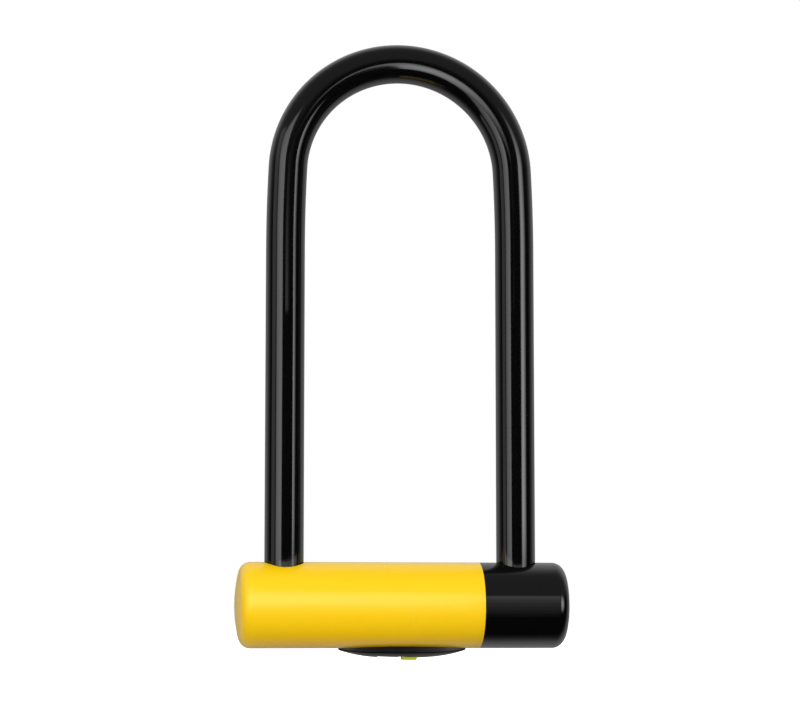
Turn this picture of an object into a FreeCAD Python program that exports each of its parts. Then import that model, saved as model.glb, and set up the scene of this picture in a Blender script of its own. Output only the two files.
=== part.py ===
import FreeCAD, Part
import math
import os
import re
import Sketcher

# A bicycle U-lock: a bent steel shackle in a vinyl sleeve, and a crossbar that
# holds a disc cylinder, a scroll cam and two deadbolts. Heights are measured
# from the crossbar's axis, and every sub-part is lifted by axisHeight at the end.
driving = {
    # crossbar
    "barLength": 175.2,
    "barRadius": 22.4,
    "axisHeight": 28.3,
    "endBulge": 77.0,
    "endEdge": 6.3,
    "seamPlace": 40.55,
    "tubeRadius": 20.0,
    "tubeBore": 15.5,
    "tubeHalf": 82.8,
    # shackle
    "legMiddle": -0.8,
    "legHalf": 61.26,
    "legTop": 186.7,
    "bowRadius": 864.0,
    "bowAngle": 2.91,
    "rodRadius": 8.0,
    "sleeveRadius": 10.3,
    "sleeveEnd": 15.8,
    "footEnd": -12.5,
    "footBevel": 1.5,
    "notchDepth": 5.0,
    "notchLow": -0.3,
    "notchHigh": 8.3,
    # holes for the legs
    "legHole": 11.1,
    "rodHole": 8.3,
    "bushRadius": 10.6,
    "bushLow": 12.5,
    "bushHigh": 15.5,
    # end plugs and foot blocks
    "blockHalf": 11.0,
    "plugPinRadius": 2.0,
    "plugPinHalf": 19.8,
    # deadbolts
    "boltHalfWidth": 7.0,
    "boltLow": 0.2,
    "boltHigh": 7.8,
    "boltTravel": 5.0,
    "boltGap": 0.5,
    "boltInner": 3.0,
    "boltBevel": 1.0,
    "slideGap": 0.15,
    "guideInner": 14.2,
    "camPinRadius": 1.5,
    "camPinPlace": 5.8,
    "camPinLow": -2.6,
    # key cylinder
    "housingRadius": 11.0,
    "housingLow": -20.6,
    "housingHigh": -3.3,
    "lipHigh": -19.5,
    "lipRadius": 5.8,
    "housingBore": 8.5,
    "grooveRadius": 0.85,
    "holdPinRadius": 1.5,
    "holdPinPlace": 11.2,
    "holdPinHeight": -14.0,
    "holdPinHalf": 12.4,
    "barrelRadius": 8.45,
    "barrelLow": -19.4,
    "barrelHigh": -3.0,
    "plateRadius": 7.0,
    "plateHigh": -17.6,
    "cavityRadius": 6.5,
    "cavityHigh": -6.0,
    "tenonHalf": 2.8,
    "tenonHeight": 1.2,
    "discRadius": 6.45,
    "discThick": 1.05,
    "spacerThick": 0.45,
    "spacerHole": 4.2,
    "keyHalf": 2.9,
    "keyFlat": -0.9,
    "keyRadius": 3.04,
    "gateHalf": 0.85,
    "gateDepth": 0.85,
    "falseGateDepth": 0.4,
    "sidebarRadius": 0.75,
    "sidebarPlace": 6.75,
    # scroll cam
    "camRadius": 13.6,
    "camHigh": -0.1,
    "camSlotHalf": 1.72,
    "camTurn": 90.0,
    "screwRadius": 1.5,
    "screwHead": 2.8,
    "screwHeadHeight": 1.35,
    "socketAcross": 2.0,
    "socketDepth": 1.2,
    # keyhole bezel and its dust cover
    "bezelHalf": 33.6,
    "bezelHalfWidth": 7.0,
    "bezelTop": -20.4,
    "bezelDrop": 27.3,
    "bezelMiddle": 14.5,
    "bezelBend": 233.0,
    "bezelEndBend": 77.0,
    "bezelAxis": -17.0,
    "bezelEdge": 0.9,
    "coverSkin": 0.7,
    "windowRadius": 4.0,
    "toolSpare": 1.0,
    "studRadius": 1.2,
    "studPlace": 28.9,
    "studLow": -22.9,
    "studHigh": -17.0,
    "shutterLeft": -13.9,
    "shutterRight": 8.2,
    "shutterHalfWidth": 4.7,
    "shutterBend": 4.0,
    "shutterLow": -23.3,
    "shutterHigh": -22.5,
    "shutterTravel": 12.7,
    "shutterGap": 0.2,
    "tabLeft": -0.4,
    "tabLength": 7.8,
    "tabHalfWidth": 2.6,
    "tabEdge": 0.8,
}

doc = FreeCAD.newDocument("u_lock")
sheet = doc.addObject("Spreadsheet::Sheet", "Sizes")
for row, (alias, value) in enumerate(driving.items(), 1):
    sheet.set("A%d" % row, alias)
    sheet.set("B%d" % row, str(value))
    sheet.setAlias("B%d" % row, alias)
doc.recompute()

subparts = []
heights = {}
turns = {
    "x": FreeCAD.Rotation(FreeCAD.Vector(0, 1, 0), 90),
    "y": FreeCAD.Rotation(FreeCAD.Vector(1, 0, 0), -90),
    "z": FreeCAD.Rotation(),
}


def sized(text):
    """The expression in which each driving dimension is read from the sheet."""
    def from_sheet(word):
        return "Sizes." + word.group() if word.group() in driving else word.group()
    return re.sub(r"[A-Za-z]\w*", from_sheet, str(text))


def size(text):
    """The value of such an expression, for choosing edges and first guesses."""
    value = doc.Sizes.evalExpression(sized(text).replace("Sizes.", ""))
    return float(getattr(value, "Value", value))


def place(piece, at, turn=None):
    piece.Placement = FreeCAD.Placement(FreeCAD.Vector(), turn or turns["z"])
    for letter, text in zip("xyz", at):
        piece.setExpression("Placement.Base." + letter, sized(text))
    heights[piece.Name] = at[2]
    return piece


def primitive(kind, name, sizes, at, turn=None):
    piece = doc.addObject(kind, name)
    for setting, text in sizes.items():
        piece.setExpression(setting, sized(text))
    return place(piece, at, turn)


def cylinder(name, radius, length, at, along="z"):
    sizes = {"Radius": radius, "Height": length}
    return primitive("Part::Cylinder", name, sizes, at, turns[along])


def box(name, lengths, at):
    return primitive("Part::Box", name, dict(zip(("Length", "Width", "Height"), lengths)), at)


def joined(name, pieces):
    whole = doc.addObject("Part::MultiFuse", name)
    whole.Shapes = pieces
    return whole


def cut(name, base, tools):
    piece = doc.addObject("Part::Cut", name)
    piece.Base = base
    piece.Tool = tools[0] if len(tools) == 1 else joined(name + "_tools", tools)
    return piece


def common(name, base, tool):
    piece = doc.addObject("Part::Common", name)
    piece.Base = base
    piece.Tool = tool
    return piece


def finish(label, piece):
    """Names a finished sub-part and lifts it from the crossbar's axis to its place."""
    piece.Label = label
    lift = "axisHeight + (%s)" % heights.get(piece.Name, 0)
    piece.setExpression("Placement.Base.z", sized(lift))
    subparts.append(piece)
    return piece


def new_body(name):
    return doc.addObject("PartDesign::Body", name)


def sketch_on(body, name, plane, lift="0"):
    sketch = body.newObject("Sketcher::SketchObject", name)
    flat = [f for f in body.Origin.OriginFeatures if f.Role == plane][0]
    sketch.AttachmentSupport = [(flat, "")]
    sketch.MapMode = "FlatFace"
    sketch.setExpression("AttachmentOffset.Base.z", sized(lift))
    return sketch


def fix(sketch, kind, where, text):
    """Adds a dimension whose value is read from the sheet."""
    number = sketch.addConstraint(Sketcher.Constraint(kind, *where, size(text)))
    sketch.setExpression("Constraints[%d]" % number, sized(text))


def circle(sketch, radius, at=("0", "0")):
    middle = FreeCAD.Vector(size(at[0]), size(at[1]), 0)
    ring = sketch.addGeometry(Part.Circle(middle, FreeCAD.Vector(0, 0, 1), size(radius)), False)
    fix(sketch, "Radius", (ring,), radius)
    if at == ("0", "0"):
        sketch.addConstraint(Sketcher.Constraint("Coincident", ring, 3, -1, 1))
        return
    fix(sketch, "DistanceX", (-1, 1, ring, 3), at[0])
    fix(sketch, "DistanceY", (-1, 1, ring, 3), at[1])


def outline(sketch, corners):
    """A closed outline, anticlockwise. A corner's third value bends the edge that
    leaves it to that radius, outwards, or inwards where the value starts with -."""
    points = [FreeCAD.Vector(size(c[0]), size(c[1]), 0) for c in corners]
    starts, ends = [], []
    for n, corner in enumerate(corners):
        here, there = points[n], points[(n + 1) % len(points)]
        if len(corner) == 2:
            edge = sketch.addGeometry(Part.LineSegment(here, there), False)
            starts.append((edge, 1))
            ends.append((edge, 2))
            continue
        inwards = corner[2].startswith("-")
        radius = abs(size(corner[2]))
        first, last = (there, here) if inwards else (here, there)
        half = (last - first) * 0.5
        rise = math.sqrt(max(radius ** 2 - half.Length ** 2, 0))
        normal = FreeCAD.Vector(-half.y, half.x, 0)
        middle = first + half + normal.normalize() * rise
        ring = Part.Circle(middle, FreeCAD.Vector(0, 0, 1), radius)
        arc = Part.ArcOfCircle(ring, ring.parameter(first), ring.parameter(last))
        edge = sketch.addGeometry(arc, False)
        fix(sketch, "Radius", (edge,), corner[2].lstrip("-"))
        starts.append((edge, 2) if inwards else (edge, 1))
        ends.append((edge, 1) if inwards else (edge, 2))
    for n, corner in enumerate(corners):
        following = starts[(n + 1) % len(corners)]
        sketch.addConstraint(Sketcher.Constraint("Coincident", *ends[n], *following))
        for kind, text in (("DistanceX", corner[0]), ("DistanceY", corner[1])):
            fix(sketch, kind, (-1, 1, *starts[n]), text)


def pad(body, sketch, length):
    feature = body.newObject("PartDesign::Pad", sketch.Name + "_pad")
    feature.Profile = sketch
    feature.setExpression("Length", sized(length))
    doc.recompute()
    return feature


def pocket(body, sketch, length, upwards=True):
    """Cuts from the sketch's plane upwards, or downwards, and proves that it cut."""
    before = body.Shape.Volume
    feature = body.newObject("PartDesign::Pocket", sketch.Name + "_pocket")
    feature.Profile = sketch
    feature.setExpression("Length", sized(length))
    feature.Reversed = upwards
    doc.recompute()
    if body.Shape.Volume > before - 1e-6:
        raise RuntimeError(feature.Name + " cut nothing")
    return feature


def revolve(body, sketch, role):
    feature = body.newObject("PartDesign::Revolution", sketch.Name + "_turned")
    feature.Profile = sketch
    feature.ReferenceAxis = ([f for f in body.Origin.OriginFeatures if f.Role == role][0], [""])
    feature.Angle = 360
    doc.recompute()
    return feature


def round_edges(body, feature, radius, chosen):
    names = ["Edge%d" % n for n, e in enumerate(feature.Shape.Edges, 1) if chosen(e)]
    rounding = body.newObject("PartDesign::Fillet", feature.Name + "_rounded")
    rounding.Base = (feature, names)
    rounding.setExpression("Radius", sized(radius))
    doc.recompute()
    return rounding


def oval(name, half, half_width, low, high):
    """An upright oval block."""
    ring = doc.addObject("Part::Ellipse", name + "_ring")
    ring.setExpression("MajorRadius", sized(half))
    ring.setExpression("MinorRadius", sized(half_width))
    place(ring, ("0", "0", low))
    block = doc.addObject("Part::Extrusion", name)
    block.Base = ring
    block.Dir = FreeCAD.Vector(0, 0, 1)
    block.DirMode = "Custom"
    block.Solid = True
    block.setExpression("LengthFwd", sized("(%s) - (%s)" % (high, low)))
    return block


def leg_place(side):
    return "legMiddle + %d * legHalf" % side


def leg_holes(name, radius, low, high):
    tall = "(%s) - (%s)" % (high, low)
    spots = (("left", -1), ("right", 1))
    return [cylinder("%s_%s" % (side, name), radius, tall, (leg_place(s), "0", low)) for side, s in spots]


def bar_shell(name, open_end, closed_end):
    """A solid bar with a slightly bulged, rounded closed end, turned about X."""
    body = new_body(name + "_body")
    sign = 1 if size(closed_end) > size(open_end) else -1
    rim = "%s - %d * (endBulge - sqrt(endBulge ^ 2 - barRadius ^ 2))" % (closed_end, sign)
    sketch = sketch_on(body, name + "_profile", "XZ_Plane")
    if sign > 0:
        outline(sketch, [(open_end, "0"), (closed_end, "0", "endBulge"), (rim, "barRadius"),
                         (open_end, "barRadius")])
    else:
        outline(sketch, [(closed_end, "0"), (open_end, "0"), (open_end, "barRadius"),
                         (rim, "barRadius", "endBulge")])
    turned = revolve(body, sketch, "X_Axis")

    def end_edge(edge):
        around = edge.BoundBox.YLength > size("barRadius")
        return around and abs(edge.BoundBox.XMin - size(rim)) < 0.01 and edge.BoundBox.XLength < 0.01

    round_edges(body, turned, "endEdge", end_edge)
    return body


def inside_bar(name, piece, skin):
    """What of a piece lies deeper than skin under the crossbar's surface."""
    length = "2 * (housingRadius + toolSpare)"
    start = ("-housingRadius - toolSpare", "0", "0")
    limit = cylinder(name + "_limit", "barRadius - (%s)" % skin, length, start, "x")
    return common(name, piece, limit)


def crossbar_cover():
    shell = bar_shell("cover", "seamPlace", "-barLength / 2")
    length = "tubeHalf + seamPlace + toolSpare"
    bore = cylinder("cover_bore", "tubeRadius", length, ("-tubeHalf", "0", "0"), "x")
    below = ("0", "0", "-barRadius - toolSpare")
    well = cylinder("cover_round", "housingRadius + slideGap", "barRadius", below)
    seat = inside_bar("cover_seat", well, "coverSkin")
    mouth = cylinder("cover_mouth", "lipRadius", "barRadius", below)
    leg = leg_holes("cover_leg", "legHole", "0", "barRadius + toolSpare")[0]
    studs = stud_rods("cover_stud_hole", "-barRadius - toolSpare", "0")
    finish("crossbar_cover", cut("cover", shell, [bore, seat, mouth, leg, *studs]))


def end_cap():
    shell = bar_shell("cap", "seamPlace", "barLength / 2")
    length = "tubeHalf - seamPlace + toolSpare"
    bore = cylinder("cap_bore", "tubeRadius", length, ("seamPlace - toolSpare", "0", "0"), "x")
    leg = leg_holes("cap_leg", "legHole", "0", "barRadius + toolSpare")[1]
    finish("end_cap", cut("cap", shell, [bore, leg]))


def stud_rods(name, low, high):
    tall = "(%s) - (%s)" % (high, low)
    spots = (("left", "-studPlace"), ("right", "studPlace"))
    return [cylinder("%s_%s" % (side, name), "studRadius", tall, (x, "0", low)) for side, x in spots]


def plug_pin_place(side):
    return "%s + %d * (blockHalf + (tubeHalf - legHalf - blockHalf) / 2)" % (leg_place(side), side)


def plug_pin_rod(name, side):
    start = (plug_pin_place(side), "-plugPinHalf", "0")
    return cylinder(name, "plugPinRadius", "2 * plugPinHalf", start, "y")


def hold_pins(name):
    spots = (("left", "-holdPinPlace"), ("right", "holdPinPlace"))
    start = ("-holdPinHalf", "holdPinHeight")
    return [cylinder("%s_%s" % (side, name), "holdPinRadius", "2 * holdPinHalf", (x, *start), "y")
            for side, x in spots]


def crossbar_tube():
    body = new_body("tube_body")
    sketch = sketch_on(body, "tube_ring", "YZ_Plane", "-tubeHalf")
    circle(sketch, "tubeRadius")
    circle(sketch, "tubeBore")
    pad(body, sketch, "2 * tubeHalf")
    holes = leg_holes("tube_leg", "legHole", "0", "barRadius")
    holes.append(cylinder("tube_keyhole", "housingRadius", "barRadius", ("0", "0", "-barRadius")))
    holes += stud_rods("tube_stud_hole", "-barRadius", "-tubeBore + toolSpare")
    holes += [plug_pin_rod("tube_pin_hole_%d" % (n + 1), side) for n, side in enumerate((-1, 1))]
    holes += hold_pins("tube_hold_hole")
    finish("crossbar_tube", cut("tube", body, holes))


def end_plug(side_name, side):
    inner = "%s + %d * blockHalf" % (leg_place(side), side)
    length = "tubeHalf - %d * (%s)" % (side, inner)
    start = "-tubeHalf" if side < 0 else inner
    disc = cylinder(side_name + "_plug_disc", "tubeBore", length, (start, "0", "0"), "x")
    hole = plug_pin_rod(side_name + "_plug_pin_hole", side)
    finish(side_name + "_end_plug", cut(side_name + "_plug", disc, [hole]))
    finish(side_name + "_plug_pin", plug_pin_rod(side_name + "_plug_rod", side))


def bolt_channel(name, start, end):
    lengths = ("(%s) - (%s)" % (end, start), "2 * (boltHalfWidth + slideGap)",
               "boltHigh - boltLow + 2 * slideGap")
    return box(name, lengths, (start, "-boltHalfWidth - slideGap", "boltLow - slideGap"))


def foot_block(side_name, side):
    start = "%s - blockHalf" % leg_place(side)
    block = cylinder(side_name + "_block_round", "tubeBore", "2 * blockHalf", (start, "0", "0"), "x")
    middle = leg_place(side)
    foot = cylinder(side_name + "_block_foot_hole", "rodHole", "2 * tubeBore", (middle, "0", "-tubeBore"))
    seat = cylinder(side_name + "_block_bush_seat", "bushRadius", "tubeBore", (middle, "0", "bushLow"))
    low, high = start + " - toolSpare", middle
    if side < 0:
        low, high = middle, start + " + 2 * blockHalf + toolSpare"
    channel = bolt_channel(side_name + "_block_channel", low, high)
    finish(side_name + "_foot_block", cut(side_name + "_block", block, [foot, seat, channel]))


def leg_bush(side_name, side):
    at = (leg_place(side), "0", "bushLow")
    ring = cylinder(side_name + "_bush_ring", "bushRadius", "bushHigh - bushLow", at)
    hole = cylinder(side_name + "_bush_hole", "rodHole", "bushHigh - bushLow", at)
    finish(side_name + "_leg_bush", cut(side_name + "_bush", ring, [hole]))


def bolt_guide(side_name, side):
    outer = "%s - %d * blockHalf" % (leg_place(side), side)
    start, end = (outer, "-guideInner") if side < 0 else ("guideInner", outer)
    length = "(%s) - (%s)" % (end, start)
    block = cylinder(side_name + "_guide_round", "tubeBore", length, (start, "0", "0"), "x")
    channel = bolt_channel(side_name + "_guide_channel", start, end)
    finish(side_name + "_bolt_guide", cut(side_name + "_guide", block, [channel]))


def deadbolt(side_name, side):
    tip = "%s - %d * (rodRadius + boltGap)" % (leg_place(side), side)
    start, end = (tip, "-boltInner") if side < 0 else ("boltInner", tip)
    body = new_body(side_name + "_bolt_body")
    sketch = sketch_on(body, side_name + "_bolt_plan", "XY_Plane", "boltLow")
    bevel = "boltHalfWidth - boltBevel"
    if side < 0:
        corners = [(start + " + boltBevel", "-boltHalfWidth"), (end, "-boltHalfWidth"),
                   (end, "boltHalfWidth"), (start + " + boltBevel", "boltHalfWidth"),
                   (start, bevel), (start, "-(%s)" % bevel)]
    else:
        corners = [(start, "-boltHalfWidth"), (end + " - boltBevel", "-boltHalfWidth"),
                   (end, "-(%s)" % bevel), (end, bevel),
                   (end + " - boltBevel", "boltHalfWidth"), (start, "boltHalfWidth")]
    outline(sketch, corners)
    pad(body, sketch, "boltHigh - boltLow")
    hole = sketch_on(body, side_name + "_bolt_pin_hole", "XY_Plane", "boltLow")
    circle(hole, "camPinRadius", ("%d * camPinPlace" % side, "0"))
    pocket(body, hole, "boltHigh - boltLow")
    finish(side_name + "_deadbolt", body)
    at = ("%d * camPinPlace" % side, "0", "camPinLow")
    rod = cylinder(side_name + "_bolt_rod", "camPinRadius", "boltHigh - camPinLow", at)
    finish(side_name + "_bolt_pin", rod)


def cylinder_housing():
    body = new_body("housing_body")
    sketch = sketch_on(body, "housing_round", "XY_Plane", "housingLow")
    circle(sketch, "housingRadius")
    pad(body, sketch, "housingHigh - housingLow")
    mouth = sketch_on(body, "housing_mouth", "XY_Plane", "housingLow")
    circle(mouth, "lipRadius")
    pocket(body, mouth, "lipHigh - housingLow")
    bore = sketch_on(body, "housing_bore", "XY_Plane", "lipHigh")
    circle(bore, "housingBore")
    pocket(body, bore, "housingHigh - lipHigh")
    start = ("-housingBore", "0", "lipHigh")
    groove = cylinder("sidebar_groove", "grooveRadius", "housingHigh - lipHigh", start)
    trimmed = inside_bar("housing_trimmed", body, "coverSkin + slideGap")
    finish("cylinder_housing", cut("housing", trimmed, [groove, *hold_pins("housing_hold_groove")]))
    finish("cylinder_pins", joined("cylinder_pin_pair", hold_pins("hold_rod")))


def key_shape(sketch):
    """The half-round hole that the key goes through."""
    outline(sketch, [("-keyHalf", "keyFlat"), ("keyHalf", "keyFlat", "keyRadius")])


def square(sketch, half):
    low = "-%s" % half
    outline(sketch, [(low, low), (half, low), (half, half), (low, half)])


def core_barrel():
    body = new_body("barrel_body")
    outside = sketch_on(body, "barrel_round", "XY_Plane", "barrelLow")
    circle(outside, "barrelRadius")
    pad(body, outside, "barrelHigh - barrelLow")
    tenon = sketch_on(body, "barrel_tenon", "XY_Plane", "barrelHigh")
    square(tenon, "tenonHalf")
    pad(body, tenon, "tenonHeight")
    recess = sketch_on(body, "barrel_recess", "XY_Plane", "barrelLow")
    circle(recess, "plateRadius")
    pocket(body, recess, "plateHigh - barrelLow")
    cavity = sketch_on(body, "barrel_cavity", "XY_Plane", "plateHigh")
    circle(cavity, "cavityRadius")
    pocket(body, cavity, "cavityHigh - plateHigh")
    screw = sketch_on(body, "barrel_screw_hole", "XY_Plane", "cavityHigh")
    circle(screw, "screwRadius")
    pocket(body, screw, "barrelHigh + tenonHeight - cavityHigh")
    slit = sketch_on(body, "barrel_sidebar_slit", "XY_Plane", "plateHigh")
    outline(slit, [("-gateHalf", "0"), ("gateHalf", "0"), ("gateHalf", "barrelRadius + toolSpare"),
                   ("-gateHalf", "barrelRadius + toolSpare")])
    pocket(body, slit, "cavityHigh - plateHigh")
    finish("core_barrel", body)


def front_plate():
    body = new_body("plate_body")
    disc = sketch_on(body, "plate_round", "XY_Plane", "barrelLow")
    circle(disc, "plateRadius")
    pad(body, disc, "plateHigh - barrelLow")
    key = sketch_on(body, "plate_key", "XY_Plane", "barrelLow")
    key_shape(key)
    pocket(body, key, "plateHigh - barrelLow")
    finish("front_plate", body)


def code_disc(number, false_gates):
    """A disc with its key hole, the true gate at +Y and shallow false gates."""
    name = "disc_%d" % number
    body = new_body(name + "_body")
    rim = sketch_on(body, name + "_rim", "XY_Plane")
    circle(rim, "discRadius")
    pad(body, rim, "discThick")
    key = sketch_on(body, name + "_key", "XY_Plane")
    key_shape(key)
    pocket(body, key, "discThick")
    gate = sketch_on(body, name + "_gate", "XY_Plane")
    outline(gate, [("-gateHalf", "discRadius - gateDepth"), ("gateHalf", "discRadius - gateDepth"),
                   ("gateHalf", "discRadius + toolSpare"), ("-gateHalf", "discRadius + toolSpare")])
    pocket(body, gate, "discThick")
    for n, angle in enumerate(false_gates, 1):
        false = sketch_on(body, "%s_false_gate_%d" % (name, n), "XY_Plane")
        reach = "(discRadius + gateHalf - falseGateDepth)"
        circle(false, "gateHalf", ("%s * cos(%d)" % (reach, angle), "%s * sin(%d)" % (reach, angle)))
        pocket(body, false, "discThick")
    heights[body.Name] = "plateHigh + %d * (discThick + spacerThick)" % (number - 1)
    finish(name, body)


def spacer(number):
    at = ("0", "0", "plateHigh + %d * (discThick + spacerThick) - spacerThick" % number)
    name = "spacer_%d" % number
    washer = cylinder(name + "_washer", "discRadius - gateDepth", "spacerThick", at)
    hole = cylinder(name + "_hole", "spacerHole", "spacerThick", at)
    finish(name, cut(name + "_ring", washer, [hole]))


def sidebar():
    length = "cavityHigh - plateHigh - 2 * slideGap"
    at = ("0", "sidebarPlace", "plateHigh + slideGap")
    finish("sidebar", cylinder("sidebar_rod", "sidebarRadius", length, at))


def scroll_slot(body, side_name, side):
    """A spiral slot, drawn as the arc through the pin's place at rest, half way and
    at the end of the cam's turn. It pushes the pin out evenly as the cam turns."""
    turn = size("camTurn")
    spots = []
    for share in (0, 0.5, 1):
        reach = size("camPinPlace") + share * size("boltTravel")
        angle = math.radians(-share * turn)
        spots.append(FreeCAD.Vector(side * reach * math.cos(angle), side * reach * math.sin(angle), 0))
    path = Part.Arc(*spots).toShape().Curve
    middle, radius = path.Center, path.Radius
    sketch = sketch_on(body, side_name + "_scroll", "XY_Plane", "barrelHigh")
    half = size("camSlotHalf")
    ways = [(spots[n] - middle).normalize() for n in (0, 2)]
    if (ways[0].cross(ways[1])).z < 0:
        ways.reverse()
    angles = [math.atan2(way.y, way.x) for way in ways]
    if angles[1] < angles[0]:
        angles[1] += 2 * math.pi
    up = FreeCAD.Vector(0, 0, 1)
    outer = Part.ArcOfCircle(Part.Circle(middle, up, radius + half), *angles)
    inner = Part.ArcOfCircle(Part.Circle(middle, up, radius - half), *angles)
    ends = []
    for angle, way in zip(angles, ways):
        ends.append(Part.Circle(middle + way * radius, up, half))
    head = Part.ArcOfCircle(ends[1], angles[1], angles[1] + math.pi)
    tail = Part.ArcOfCircle(ends[0], angles[0] + math.pi, angles[0] + 2 * math.pi)
    for arc in (outer, head, inner, tail):
        sketch.addGeometry(arc, False)
    meeting = (((0, 2), (1, 1)), ((1, 2), (2, 2)), ((2, 1), (3, 1)), ((3, 2), (0, 1)))
    for one, other in meeting:
        sketch.addConstraint(Sketcher.Constraint("Coincident", *one, *other))
    fix(sketch, "Radius", (1,), "camSlotHalf")
    fix(sketch, "Radius", (3,), "camSlotHalf")
    pocket(body, sketch, "camHigh - barrelHigh")


def scroll_cam():
    body = new_body("cam_body")
    disc = sketch_on(body, "cam_round", "XY_Plane", "barrelHigh")
    circle(disc, "camRadius")
    pad(body, disc, "camHigh - barrelHigh")
    socket = sketch_on(body, "cam_square", "XY_Plane", "barrelHigh")
    square(socket, "tenonHalf")
    pocket(body, socket, "tenonHeight")
    hole = sketch_on(body, "cam_screw_hole", "XY_Plane", "barrelHigh + tenonHeight")
    circle(hole, "screwRadius")
    pocket(body, hole, "camHigh - barrelHigh - tenonHeight")
    scroll_slot(body, "right", 1)
    scroll_slot(body, "left", -1)
    sink = primitive("Part::Cone", "cam_sink", {"Radius1": "screwRadius", "Radius2": "screwHead",
                     "Height": "screwHeadHeight"}, ("0", "0", "camHigh - screwHeadHeight"))
    finish("scroll_cam", cut("cam", body, [sink]))


def cam_screw():
    length = "camHigh - screwHeadHeight - cavityHigh"
    shank = cylinder("screw_shank", "screwRadius", length, ("0", "0", "cavityHigh"))
    head = primitive("Part::Cone", "screw_cone", {"Radius1": "screwRadius", "Radius2": "screwHead",
                     "Height": "screwHeadHeight"}, ("0", "0", "camHigh - screwHeadHeight"))
    socket = primitive("Part::Prism", "screw_socket", {"Circumradius": "socketAcross / 2 / cos(30)",
                       "Height": "socketDepth + toolSpare"}, ("0", "0", "camHigh - socketDepth"))
    finish("cam_screw", cut("screw", joined("screw_solid", [shank, head]), [socket]))


def shutter_plan(body, name, lift, grow, travel):
    """The shutter's rounded plan, widened by grow and lengthened by its travel."""
    sketch = sketch_on(body, name, "XY_Plane", lift)
    left = "shutterLeft - (%s) - (%s)" % (travel, grow)
    right = "shutterRight + (%s)" % grow
    half = "shutterHalfWidth + (%s)" % grow
    bend = "shutterBend + (%s)" % grow
    flat = "shutterHalfWidth - shutterBend"
    outline(sketch, [(left + " + (%s)" % bend, "-(%s)" % half), (right, "-(%s)" % half),
                     (right, half), (left + " + (%s)" % bend, half, bend),
                     (left, flat), (left, "-(%s)" % flat, bend)])
    return sketch


def keyhole_bezel():
    body = new_body("bezel_body")
    body.setExpression("Placement.Base.z", sized("bezelAxis"))
    end = "bezelHalf + toolSpare"
    middle = "bezelDrop + bezelAxis - bezelBend + sqrt(bezelBend ^ 2 - bezelMiddle ^ 2)"
    end_middle = "bezelMiddle * (1 - bezelEndBend / bezelBend)"
    end_centre = "%s - bezelEndBend * sqrt(1 - (bezelMiddle / bezelBend) ^ 2)" % middle
    tip = "%s + sqrt(bezelEndBend ^ 2 - (%s - %s) ^ 2)" % (end_centre, end, end_middle)
    sketch = sketch_on(body, "bezel_profile", "XZ_Plane")
    outline(sketch, [("-(%s)" % end, "0"), (end, "0"), (end, tip, "bezelEndBend"),
                     ("bezelMiddle", middle, "bezelBend"), ("-bezelMiddle", middle, "bezelEndBend"),
                     ("-(%s)" % end, tip)])
    revolve(body, sketch, "X_Axis")
    below = "-bezelDrop - toolSpare"
    block = oval("bezel_oval", "bezelHalf", "bezelHalfWidth", below, "bezelTop")
    dome = common("bezel_dome", body, block)
    doc.recompute()
    highest = size("bezelTop") - size("bezelEdge")
    shortest = 5.0
    rims = [n for n, e in enumerate(dome.Shape.Edges, 1)
            if e.BoundBox.ZMax < highest and e.BoundBox.DiagonalLength > shortest]
    soft = doc.addObject("Part::Fillet", "bezel_soft")
    soft.Base = dome
    soft.Edges = [(n, size("bezelEdge"), size("bezelEdge")) for n in rims]
    saddle = cylinder("bezel_saddle", "barRadius", "2 * (%s)" % end, ("-(%s)" % end, "0", "0"), "x")
    room = new_body("bezel_room")
    plan = shutter_plan(room, "bezel_room_plan", "shutterLow - slideGap", "slideGap", "shutterTravel")
    pad(room, plan, "bezelTop - shutterLow")
    deep = "bezelDrop + bezelTop + toolSpare"
    window = cylinder("bezel_window", "windowRadius", deep, ("0", "0", below))
    slot_sizes = ("tabLength + shutterTravel + 2 * shutterGap", "2 * (tabHalfWidth + shutterGap)", deep)
    slot = box("bezel_slot", slot_sizes,
               ("tabLeft - shutterTravel - shutterGap", "-tabHalfWidth - shutterGap", below))
    studs = stud_rods("bezel_stud_hole", "studLow", "0")
    finish("keyhole_bezel", cut("bezel", soft, [saddle, room, window, slot, *studs]))
    finish("bezel_studs", joined("bezel_stud_pair", stud_rods("stud", "studLow", "studHigh")))


def dust_cover():
    body = new_body("shutter_body")
    pad(body, shutter_plan(body, "shutter_plan", "shutterLow", "0", "0"), "shutterHigh - shutterLow")
    tab = sketch_on(body, "tab_plan", "XY_Plane", "-axisHeight")
    right = "tabLeft + tabLength"
    outline(tab, [("tabLeft", "-tabHalfWidth"), (right, "-tabHalfWidth"), (right, "tabHalfWidth"),
                  ("tabLeft", "tabHalfWidth")])
    block = pad(body, tab, "axisHeight + shutterLow")

    def tab_foot(edge):
        return edge.BoundBox.ZMax < -size("axisHeight") + 1e-6
    round_edges(body, block, "tabEdge", tab_foot)
    finish("dust_cover", body)


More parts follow.
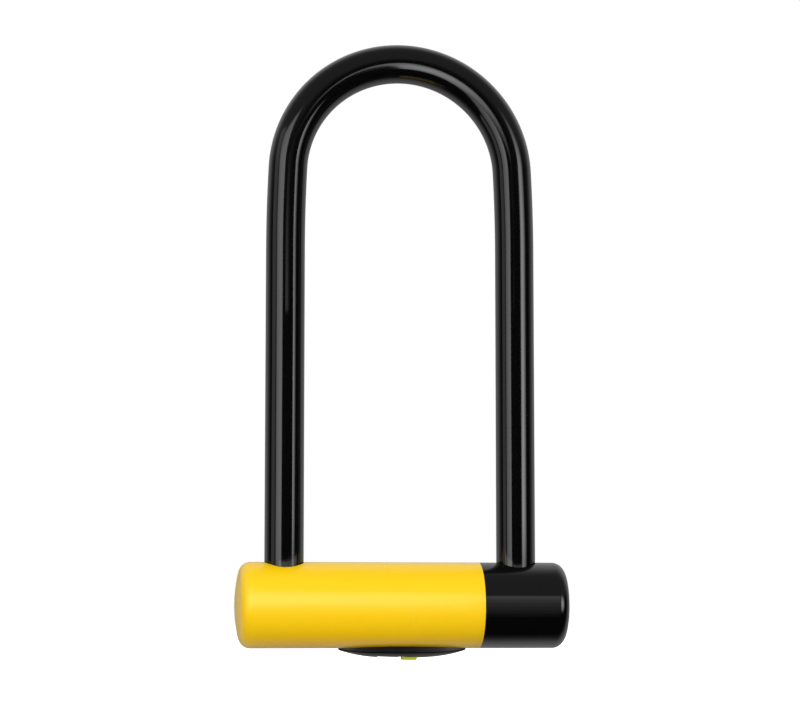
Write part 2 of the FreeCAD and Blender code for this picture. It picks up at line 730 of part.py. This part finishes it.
def bent_rod(name, radius, end):
    """Both legs, the long slight bows above them and the crown, one round section."""
    crown_radius = "(legHalf - bowRadius * (1 - cos(bowAngle))) / cos(bowAngle)"
    crown_height = "legTop + bowRadius * sin(bowAngle) - %s * sin(bowAngle)" % crown_radius
    flat = FreeCAD.Rotation(FreeCAD.Vector(1, 0, 0), 90)
    lying = {
        "right_bow": ("legMiddle + legHalf - bowRadius", "legTop", "bowRadius", "bowAngle", 0),
        "left_bow": ("legMiddle - legHalf + bowRadius", "legTop", "bowRadius", "bowAngle",
                     180 - size("bowAngle")),
        "crown": ("legMiddle", crown_height, crown_radius, "180 - 2 * bowAngle", size("bowAngle")),
    }
    pieces = leg_holes(name + "_leg", radius, end, "legTop")
    for part, (across, up, bend, sweep, start) in lying.items():
        sizes = {"Radius1": bend, "Radius2": radius, "Angle3": sweep}
        turn = flat * FreeCAD.Rotation(FreeCAD.Vector(0, 0, 1), start)
        pieces.append(primitive("Part::Torus", name + "_" + part, sizes, (across, "0", up), turn))
    return joined(name, pieces)


def notch(name, side):
    """The square cut in the inner side of a foot that its deadbolt enters."""
    inner = "%s - %d * rodRadius" % (leg_place(side), side)
    start = inner + (" - toolSpare" if side > 0 else " - notchDepth")
    return box(name, ("notchDepth + toolSpare", "2 * (rodRadius + toolSpare)", "notchHigh - notchLow"),
               (start, "-rodRadius - toolSpare", "notchLow"))


def foot_bevel(name, side):
    """A ring that turns the foot's end down to a cone."""
    at = (leg_place(side), "0", "footEnd")
    ring = cylinder(name + "_ring", "rodRadius + toolSpare", "footBevel", at)
    sizes = {"Radius1": "rodRadius - footBevel", "Radius2": "rodRadius", "Height": "footBevel"}
    cone = primitive("Part::Cone", name + "_cone", sizes, at)
    return cut(name, ring, [cone])


def shackle():
    bar = bent_rod("bar_rod", "rodRadius", "footEnd")
    tools = [notch("left_notch", -1), notch("right_notch", 1),
             foot_bevel("left_bevel", -1), foot_bevel("right_bevel", 1)]
    finish("shackle_bar", cut("bar", bar, tools))
    skin = bent_rod("sleeve_outside", "sleeveRadius", "sleeveEnd")
    hollow = bent_rod("sleeve_inside", "rodRadius", "sleeveEnd")
    finish("shackle_sleeve", cut("sleeve", skin, [hollow]))


crossbar_cover()
end_cap()
crossbar_tube()
for side_name, side in (("left", -1), ("right", 1)):
    end_plug(side_name, side)
    foot_block(side_name, side)
    leg_bush(side_name, side)
    bolt_guide(side_name, side)
    deadbolt(side_name, side)
cylinder_housing()
core_barrel()
front_plate()
gate_angles = [(200, 290), (170, 250), (215, 310), (155, 330), (230, 345), (180, 270), (160, 300), (240, 20)]
for number, angles in enumerate(gate_angles, 1):
    code_disc(number, angles)
for number in range(1, len(gate_angles)):
    spacer(number)
sidebar()
scroll_cam()
cam_screw()
keyhole_bezel()
dust_cover()
shackle()

doc.recompute()
failed = [o.Label for o in doc.Objects if "Invalid" in o.State or "Error" in o.State]
failed += [p.Label for p in subparts if p.Shape.isNull() or not p.Shape.isValid()]
if failed:
    raise RuntimeError("failed: " + ", ".join(failed))
os.makedirs("parts", exist_ok=True)
for piece in subparts:
    piece.Shape.exportStep("parts/%s.step" % piece.Label)
print("%d sub-parts" % len(subparts))
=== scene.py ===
import math

import bmesh
import bpy
from mathutils import Matrix, Vector


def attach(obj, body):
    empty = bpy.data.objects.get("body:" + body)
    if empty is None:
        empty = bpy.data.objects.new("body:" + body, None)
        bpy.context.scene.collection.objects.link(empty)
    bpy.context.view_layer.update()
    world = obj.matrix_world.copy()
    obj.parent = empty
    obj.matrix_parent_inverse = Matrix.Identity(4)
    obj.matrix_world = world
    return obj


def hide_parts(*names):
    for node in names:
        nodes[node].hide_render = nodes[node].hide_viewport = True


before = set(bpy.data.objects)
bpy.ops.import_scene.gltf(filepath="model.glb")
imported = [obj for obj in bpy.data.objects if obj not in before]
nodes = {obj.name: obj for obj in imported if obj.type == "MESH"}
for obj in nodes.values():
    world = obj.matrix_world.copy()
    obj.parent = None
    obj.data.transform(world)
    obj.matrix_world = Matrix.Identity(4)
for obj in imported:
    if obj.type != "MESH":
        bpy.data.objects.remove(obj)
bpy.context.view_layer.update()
mm = 0.001
up = Vector((0, 0, 1))

# the camera stands low in front and a little to the left, and looks slightly up
cameraPlan = {
    "place": (-185.9, -1308.8, 21.7),
    "forward": (0.13904, 0.98471, 0.10491),
    "lens": 113.23,
    "sensorWidth": 36.0,
    "nearest": 0.05,
    "furthest": 50.0,
}


def makeCamera(plan):
    data = bpy.data.cameras.new("camera")
    data.lens = plan["lens"]
    data.sensor_width = plan["sensorWidth"]
    data.sensor_fit = "HORIZONTAL"
    data.clip_start = plan["nearest"]
    data.clip_end = plan["furthest"]
    camera = bpy.data.objects.new("camera", data)
    bpy.context.collection.objects.link(camera)
    forward = Vector(plan["forward"]).normalized()
    right = forward.cross(up).normalized()
    turn = Matrix((right, right.cross(forward), -forward)).transposed()
    camera.matrix_world = Matrix.Translation(Vector(plan["place"]) * mm) @ turn.to_4x4()
    bpy.context.scene.camera = camera
    bpy.context.scene.view_settings.view_transform = "Standard"


makeCamera(cameraPlan)
print("camera stands")


def linearColour(hexCode):
    # an sRGB hex code turned to the linear numbers that a socket takes
    parts = [int(hexCode[i:i + 2], 16) / 255 for i in (1, 3, 5)]
    return [p / 12.92 if p <= 0.04045 else ((p + 0.055) / 1.055) ** 2.4 for p in parts] + [1.0]


def addNode(tree, kind, settings=None, links=None):
    # one node, with its settings, its sockets' values and its links
    node = tree.nodes.new(kind)
    for name, value in (settings or {}).items():
        if isinstance(name, str) and hasattr(node, name):
            setattr(node, name, value)
        else:
            node.inputs[name].default_value = value
    for name, source in (links or {}).items():
        tree.links.new(source, node.inputs[name])
    return node


# a plain studio: pale floor, white surroundings that mirror brighter behind the lock than before it
studioPlan = {
    "floorWidth": 24.0,
    "floorDrop": 0.0002,
    "floorColour": "#F4F4F4",
    "floorBounce": "#C4C4C4",
    "floorGlow": 0.8,
    "backAxis": (0.1398, 0.9902, 0.0),
    "backGlow": [(0.0, 0.0), (0.47, 0.0), (0.56, 0.1), (0.64, 0.3), (0.75, 0.62), (0.88, 0.55),
                 (1.0, 0.3)],
    "topGlow": (0.12, 0.5, 0.012, 0.22),
    "fill": 0.56,
    "backdrop": 1.0,
}


def makeWorld(plan):
    world = bpy.data.worlds.new("studio")
    bpy.context.scene.world = world
    world.use_nodes = True
    tree = world.node_tree
    tree.nodes.clear()
    way = addNode(tree, "ShaderNodeTexCoord").outputs["Generated"]
    back = addNode(tree, "ShaderNodeVectorMath", {"operation": "DOT_PRODUCT", 1: plan["backAxis"]}, {0: way})
    share = addNode(tree, "ShaderNodeMapRange", {"From Min": -1.0}, {"Value": back.outputs["Value"]})
    behind = addNode(tree, "ShaderNodeValToRGB", {}, {"Fac": share.outputs["Result"]})
    stops = behind.color_ramp.elements
    for number, (where, bright) in enumerate(plan["backGlow"]):
        stop = stops[number] if number < 2 else stops.new(where)
        stop.position = where
        stop.color = (bright, bright, bright, 1)
    height = addNode(tree, "ShaderNodeSeparateXYZ", {}, {0: way})
    low, high, dim, bright = plan["topGlow"]
    over = addNode(tree, "ShaderNodeMapRange", {"interpolation_type": "SMOOTHSTEP", "From Min": low,
                   "From Max": high, "To Min": dim, "To Max": bright}, {"Value": height.outputs["Z"]})
    mirrored = addNode(tree, "ShaderNodeMath", {}, {0: behind.outputs["Color"], 1: over.outputs["Result"]})
    path = addNode(tree, "ShaderNodeLightPath")
    soft = addNode(tree, "ShaderNodeMix", {"A": plan["fill"]},
                   {"Factor": path.outputs["Is Glossy Ray"], "B": mirrored.outputs["Value"]})
    seen = addNode(tree, "ShaderNodeMix", {"B": plan["backdrop"]},
                   {"Factor": path.outputs["Is Camera Ray"], "A": soft.outputs["Result"]})
    shine = addNode(tree, "ShaderNodeBackground", {"Color": (1, 1, 1, 1)},
                    {"Strength": seen.outputs["Result"]})
    addNode(tree, "ShaderNodeOutputWorld", {}, {"Surface": shine.outputs["Background"]})


def makeFloor(plan):
    bm = bmesh.new()
    bmesh.ops.create_grid(bm, x_segments=1, y_segments=1, size=plan["floorWidth"] / 2)
    bmesh.ops.translate(bm, verts=bm.verts, vec=(0, 0, -plan["floorDrop"]))
    mesh = bpy.data.meshes.new("floor")
    bm.to_mesh(mesh)
    bm.free()
    floor = bpy.data.objects.new("floor", mesh)
    bpy.context.collection.objects.link(floor)
    material = bpy.data.materials.new("paleFloor")
    material.use_nodes = True
    tree = material.node_tree
    tree.nodes.clear()
    path = addNode(tree, "ShaderNodeLightPath")
    matt = addNode(tree, "ShaderNodeBsdfDiffuse", {"Color": linearColour(plan["floorColour"])})
    glow = addNode(tree, "ShaderNodeEmission", {"Color": (1, 1, 1, 1), "Strength": plan["floorGlow"]})
    seen = addNode(tree, "ShaderNodeAddShader", {}, {0: matt.outputs[0], 1: glow.outputs[0]})
    bounce = addNode(tree, "ShaderNodeBsdfDiffuse", {"Color": linearColour(plan["floorBounce"])})
    both = addNode(tree, "ShaderNodeMixShader", {},
                   {0: path.outputs["Is Camera Ray"], 1: bounce.outputs[0], 2: seen.outputs[0]})
    addNode(tree, "ShaderNodeOutputMaterial", {}, {"Surface": both.outputs[0]})
    mesh.materials.append(material)
    floor.visible_glossy = False


# places and sizes in millimetres; a lamp lights either the matt colour or the gloss, so each can be
# set by itself, and a lamp with steps is a stack of strips that fades from its top to its foot
lampPlans = {
    "leftSoftbox": {"place": (-380, -386, 230), "aim": (-140, 0, 200), "size": (315, 620), "bright": 2.9,
                    "matt": False, "spread": 100},
    "leftWash": {"place": (-495, -124, 230), "aim": (-62, 0, 200), "size": (200, 620), "bright": 0.6,
                 "matt": False},
    "rightStrip": {"place": (298, -256, 210), "aim": (95, 0, 190), "size": (190, 620), "bright": 6.0,
                   "matt": False, "spread": 44},
    "crownPanel": {"place": (-24, -170, 250), "aim": (-24, 0, 318), "size": (100, 112), "bright": 5.0,
                   "matt": False, "spread": 66},
    "coverPanel": {"place": (-27, -45.5, 29), "aim": (-27, 0, 29), "size": (130, 34), "bright": 1.1,
                   "matt": False, "steps": (1.0, 1.0, 0.7, 0.25)},
    "capPanel": {"place": (64, -45.5, 26), "aim": (64, 0, 26), "size": (50, 36), "bright": 0.75,
                 "matt": False, "steps": (1.0, 0.72, 0.5, 0.34, 0.2, 0.08)},
    "keyLamp": {"place": (-178, -1256, 440), "aim": (0, 0, 60), "size": (900, 900), "bright": 5.4,
                "gloss": False},
    "rearLamp": {"place": (300, 1250, 700), "aim": (0, 0, 80), "size": (900, 900), "bright": 3.6,
                 "gloss": False},
}


def makeLamp(name, plan):
    width, height = [side * mm for side in plan["size"]]
    spread = math.radians(plan.get("spread", 180))
    # a narrow spread gathers the light, so its energy is lowered to keep the brightness asked for
    gain = 1.0
    if "spread" in plan:
        gain = math.tan(spread / 2) / (math.tan(spread / 2) - spread / 2)
    place = Vector(plan["place"]) * mm
    turn = (Vector(plan["aim"]) * mm - place).to_track_quat("-Z", "Y").to_matrix().to_4x4()
    shares = plan.get("steps", (1.0,))
    tall = height / len(shares)
    for number, share in enumerate(shares):
        data = bpy.data.lights.new(name, "AREA")
        data.shape = "RECTANGLE"
        data.size = width
        data.size_y = tall
        data.spread = spread
        data.energy = plan["bright"] * share * math.pi * width * tall / gain
        lamp = bpy.data.objects.new(name, data)
        step = Vector((0, (height - tall) / 2 - number * tall, 0))
        lamp.matrix_world = Matrix.Translation(place) @ turn @ Matrix.Translation(step)
        lamp.visible_camera = False
        lamp.visible_diffuse = plan.get("matt", True)
        lamp.visible_glossy = plan.get("gloss", True)
        bpy.context.collection.objects.link(lamp)


makeWorld(studioPlan)
makeFloor(studioPlan)
for lampName, lampPlan in lampPlans.items():
    makeLamp(lampName, lampPlan)
print("studio lit")

# handling marks are the same on all finishes: thin hazy streaks, with their size in millimetres
scuffPlan = {"length": 7.0, "stretch": (1, 1, 0.12), "from": 0.62, "to": 0.75, "haze": 0.06,
             "detail": 5.0, "twist": 0.6}
# how fine the patterns are, where the drift turns from shiny to dull, and how strong the grain's relief is
patternPlan = {"driftDetail": 4.0, "grainDetail": 3.0, "shinyUpTo": 0.3, "dullFrom": 0.7, "relief": 0.6}
# one entry for each finish: two colours that it drifts between, the drift's size in millimetres,
# its gloss from shiniest to dullest, and a grain given as size, height (both in millimetres) and stretch
finishPlans = {
    # soft PVC, injection moulded: an even warm yellow with a satin skin
    "yellow_vinyl": {"name": "mouldedYellowVinyl", "colours": ("#F9CB06", "#F6C805"), "drift": 26.0,
                     "rough": (0.2, 0.27), "grain": (0.9, 0.006, (1, 1, 1)),
                     "sockets": {"IOR": 1.53, "Specular IOR Level": 0.5}},
    # soft PVC, extruded over the bar and polished: near black with mirror-like highlights
    "black_vinyl": {"name": "polishedBlackVinyl", "colours": ("#060607", "#030303"), "drift": 18.0,
                    "rough": (0.07, 0.12), "grain": (2.2, 0.004, (1, 1, 0.25)),
                    "sockets": {"IOR": 1.53, "Specular IOR Level": 0.5}},
    # glass-filled nylon, moulded in a sparked tool: black with a soft, even sheen
    "black_nylon": {"name": "mouldedBlackNylon", "colours": ("#0A0B0C", "#060606"), "drift": 9.0,
                    "rough": (0.3, 0.42), "grain": (0.5, 0.012, (1, 1, 1)), "sockets": {"IOR": 1.53}},
    # acetal, moulded: a fresh lime that light sinks into a little
    "lime_acetal": {"name": "mouldedLimeAcetal", "colours": ("#C9D038", "#BCC42E"), "drift": 5.0,
                    "rough": (0.32, 0.42), "grain": (0.6, 0.008, (1, 1, 1)),
                    "sockets": {"IOR": 1.48, "Subsurface Weight": 0.25, "Subsurface Scale": 0.001}},
    # nitrile rubber, moulded: dull black
    "bush_rubber": {"name": "mouldedNitrileRubber", "colours": ("#151515", "#0C0C0C"), "drift": 6.0,
                    "rough": (0.6, 0.75), "grain": (0.4, 0.02, (1, 1, 1)), "sockets": {"IOR": 1.52}},
    # boron steel, drawn and hardened: dark grey with fine upright lines
    "hardened_steel": {"name": "drawnHardenedSteel", "colours": ("#8E8F90", "#6E6E6F"), "drift": 12.0,
                       "rough": (0.24, 0.38), "grain": (0.5, 0.008, (1, 1, 0.06)),
                       "sockets": {"Metallic": 1.0}},
    # mild steel with bright zinc on it: light grey with a cool cloudy gloss
    "plated_steel": {"name": "zincPlatedSteel", "colours": ("#B9BDC2", "#9CA1A8"), "drift": 4.0,
                     "rough": (0.22, 0.34), "grain": (0.35, 0.006, (1, 1, 1)),
                     "sockets": {"Metallic": 1.0}},
    # cast nylon, turned: milky off-white with a waxy sheen
    "guide_nylon": {"name": "turnedNaturalNylon", "colours": ("#E4DFD2", "#D8D2C2"), "drift": 8.0,
                    "rough": (0.38, 0.5), "grain": (0.7, 0.01, (1, 1, 1)),
                    "sockets": {"IOR": 1.53, "Subsurface Weight": 0.2, "Subsurface Scale": 0.002}},
    # free-cutting brass, turned: warm yellow metal with a fine upright grain
    "cylinder_brass": {"name": "turnedCylinderBrass", "colours": ("#D2AE5C", "#B98F3E"), "drift": 3.5,
                       "rough": (0.2, 0.32), "grain": (0.3, 0.006, (1, 1, 0.2)),
                       "sockets": {"Metallic": 1.0}},
}
unitInMm = 1000.0
# a mix node's colour sockets share their names with its number sockets, so they go by their places
firstColour = 6
secondColour = 7
mixedColour = 2


def makeFinish(plan):
    material = bpy.data.materials.new(plan["name"])
    material.use_nodes = True
    tree = material.node_tree
    shader = tree.nodes["Principled BSDF"]
    for name, value in plan["sockets"].items():
        shader.inputs[name].default_value = value
    where = addNode(tree, "ShaderNodeTexCoord").outputs["Object"]
    drift = addNode(tree, "ShaderNodeTexNoise", {"Scale": unitInMm / plan["drift"],
                    "Detail": patternPlan["driftDetail"]}, {"Vector": where})
    first, second = [linearColour(code) for code in plan["colours"]]
    mixed = addNode(tree, "ShaderNodeMix", {"data_type": "RGBA", firstColour: first,
                    secondColour: second}, {"Factor": drift.outputs["Fac"]})
    tree.links.new(mixed.outputs[mixedColour], shader.inputs["Base Color"])
    size, tall, stretch = plan["grain"]
    laid = addNode(tree, "ShaderNodeMapping", {"Scale": stretch}, {"Vector": where})
    grain = addNode(tree, "ShaderNodeTexNoise", {"Scale": unitInMm / size,
                    "Detail": patternPlan["grainDetail"]}, {"Vector": laid.outputs["Vector"]})
    shiny, dull = plan["rough"]
    gloss = addNode(tree, "ShaderNodeMapRange", {"From Min": patternPlan["shinyUpTo"],
                    "From Max": patternPlan["dullFrom"], "To Min": shiny, "To Max": dull},
                    {"Value": drift.outputs["Fac"]})
    streak = addNode(tree, "ShaderNodeMapping", {"Scale": scuffPlan["stretch"]}, {"Vector": where})
    scuff = addNode(tree, "ShaderNodeTexNoise", {"Scale": unitInMm / scuffPlan["length"],
                    "Detail": scuffPlan["detail"], "Distortion": scuffPlan["twist"]},
                    {"Vector": streak.outputs["Vector"]})
    marks = addNode(tree, "ShaderNodeMapRange", {"From Min": scuffPlan["from"], "From Max": scuffPlan["to"],
                    "To Max": scuffPlan["haze"]}, {"Value": scuff.outputs["Fac"]})
    worn = addNode(tree, "ShaderNodeMath", {}, {0: gloss.outputs["Result"], 1: marks.outputs["Result"]})
    tree.links.new(worn.outputs["Value"], shader.inputs["Roughness"])
    relief = addNode(tree, "ShaderNodeBump", {"Strength": patternPlan["relief"], "Distance": tall * mm},
                     {"Height": grain.outputs["Fac"]})
    tree.links.new(relief.outputs["Normal"], shader.inputs["Normal"])
    return material


finishes = {slotName: makeFinish(plan) for slotName, plan in finishPlans.items()}
for node in nodes.values():
    for place in node.material_slots:
        place.material = finishes[place.material.name.split(".")[0]]
print("finishes made")


def finishPiece(bm, name, body, slotName, replaced, sharpAngle):
    # the mesh becomes an object at the origin that rides on its body, with edges past sharpAngle kept sharp
    bmesh.ops.recalc_face_normals(bm, faces=bm.faces)
    for face in bm.faces:
        face.smooth = True
    mesh = bpy.data.meshes.new(name)
    bm.to_mesh(mesh)
    bm.free()
    mesh.set_sharp_from_angle(angle=math.radians(sharpAngle))
    mesh.materials.append(finishes[slotName])
    piece = bpy.data.objects.new(name, mesh)
    bpy.context.collection.objects.link(piece)
    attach(piece, body)
    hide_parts(*replaced)


# the sleeve over the whole shackle, in millimetres
sleevePlan = {
    "outside": 10.25,
    "inside": 8.04,
    "legMiddle": -0.8,
    "legHalf": 61.26,
    "foot": 44.1,
    "legTop": 215.0,
    "bowRadius": 864.0,
    "bowAngle": 2.91,
    "sides": 72,
    "legSteps": 6,
    "bowSteps": 8,
    "crownSteps": 96,
    "footEdge": 0.7,
    "footRings": 4,
    "sharpAngle": 35.0,
}


def sweepSleeve(plan):
    bm = bmesh.new()
    left = plan["legMiddle"] - plan["legHalf"]
    place = Matrix.Translation(Vector((left, 0, plan["foot"])) * mm)
    for radius in (plan["outside"], plan["inside"]):
        bmesh.ops.create_circle(bm, segments=plan["sides"], radius=radius * mm, matrix=place)
    firstEnd = list(bm.edges)
    lastEnd = firstEnd

    def pushAlong(edges, height, steps):
        for _ in range(steps):
            grown = bmesh.ops.extrude_edge_only(bm, edges=edges)["geom"]
            corners = [g for g in grown if isinstance(g, bmesh.types.BMVert)]
            bmesh.ops.translate(bm, verts=corners, vec=(0, 0, height * mm / steps))
            edges = [g for g in grown if isinstance(g, bmesh.types.BMEdge) and g.verts[0] in corners
                     and g.verts[1] in corners]
        return edges

    def swingRound(edges, centre, degrees, steps):
        corners = list({v for e in edges for v in e.verts})
        turned = bmesh.ops.spin(bm, geom=edges + corners, cent=Vector(centre) * mm, axis=(0, 1, 0),
                                angle=math.radians(degrees), steps=steps)
        return [g for g in turned["geom_last"] if isinstance(g, bmesh.types.BMEdge)]

    straight = plan["legTop"] - plan["foot"]
    bow = plan["bowRadius"]
    slant = math.radians(plan["bowAngle"])
    crown = (plan["legHalf"] - bow * (1 - math.cos(slant))) / math.cos(slant)
    crownHeight = plan["legTop"] + (bow - crown) * math.sin(slant)
    lastEnd = pushAlong(lastEnd, straight, plan["legSteps"])
    lastEnd = swingRound(lastEnd, (left + bow, 0, plan["legTop"]), plan["bowAngle"], plan["bowSteps"])
    lastEnd = swingRound(lastEnd, (plan["legMiddle"], 0, crownHeight), 180 - 2 * plan["bowAngle"],
                         plan["crownSteps"])
    right = plan["legMiddle"] + plan["legHalf"]
    lastEnd = swingRound(lastEnd, (right - bow, 0, plan["legTop"]), plan["bowAngle"], plan["bowSteps"])
    lastEnd = pushAlong(lastEnd, -straight, plan["legSteps"])
    bmesh.ops.bridge_loops(bm, edges=firstEnd)
    bmesh.ops.bridge_loops(bm, edges=lastEnd)
    # the outer rim of each foot is softened, as trimmed vinyl is
    rims = []
    for edge in firstEnd + lastEnd:
        across = [abs(v.co.x / mm - (left if v.co.x < 0 else right)) for v in edge.verts]
        deep = [abs(v.co.y / mm) for v in edge.verts]
        if all(math.hypot(a, d) > (plan["outside"] + plan["inside"]) / 2 for a, d in zip(across, deep)):
            rims.append(edge)
    bmesh.ops.bevel(bm, geom=rims, offset=plan["footEdge"] * mm, offset_type="OFFSET", affect="EDGES",
                    segments=plan["footRings"], profile=0.5, material=-1)
    finishPiece(bm, "shackleSleeve", "shackle", "black_vinyl", ["shackle_sleeve"],
                plan["sharpAngle"])


sweepSleeve(sleevePlan)
print("shackle sleeve swept")
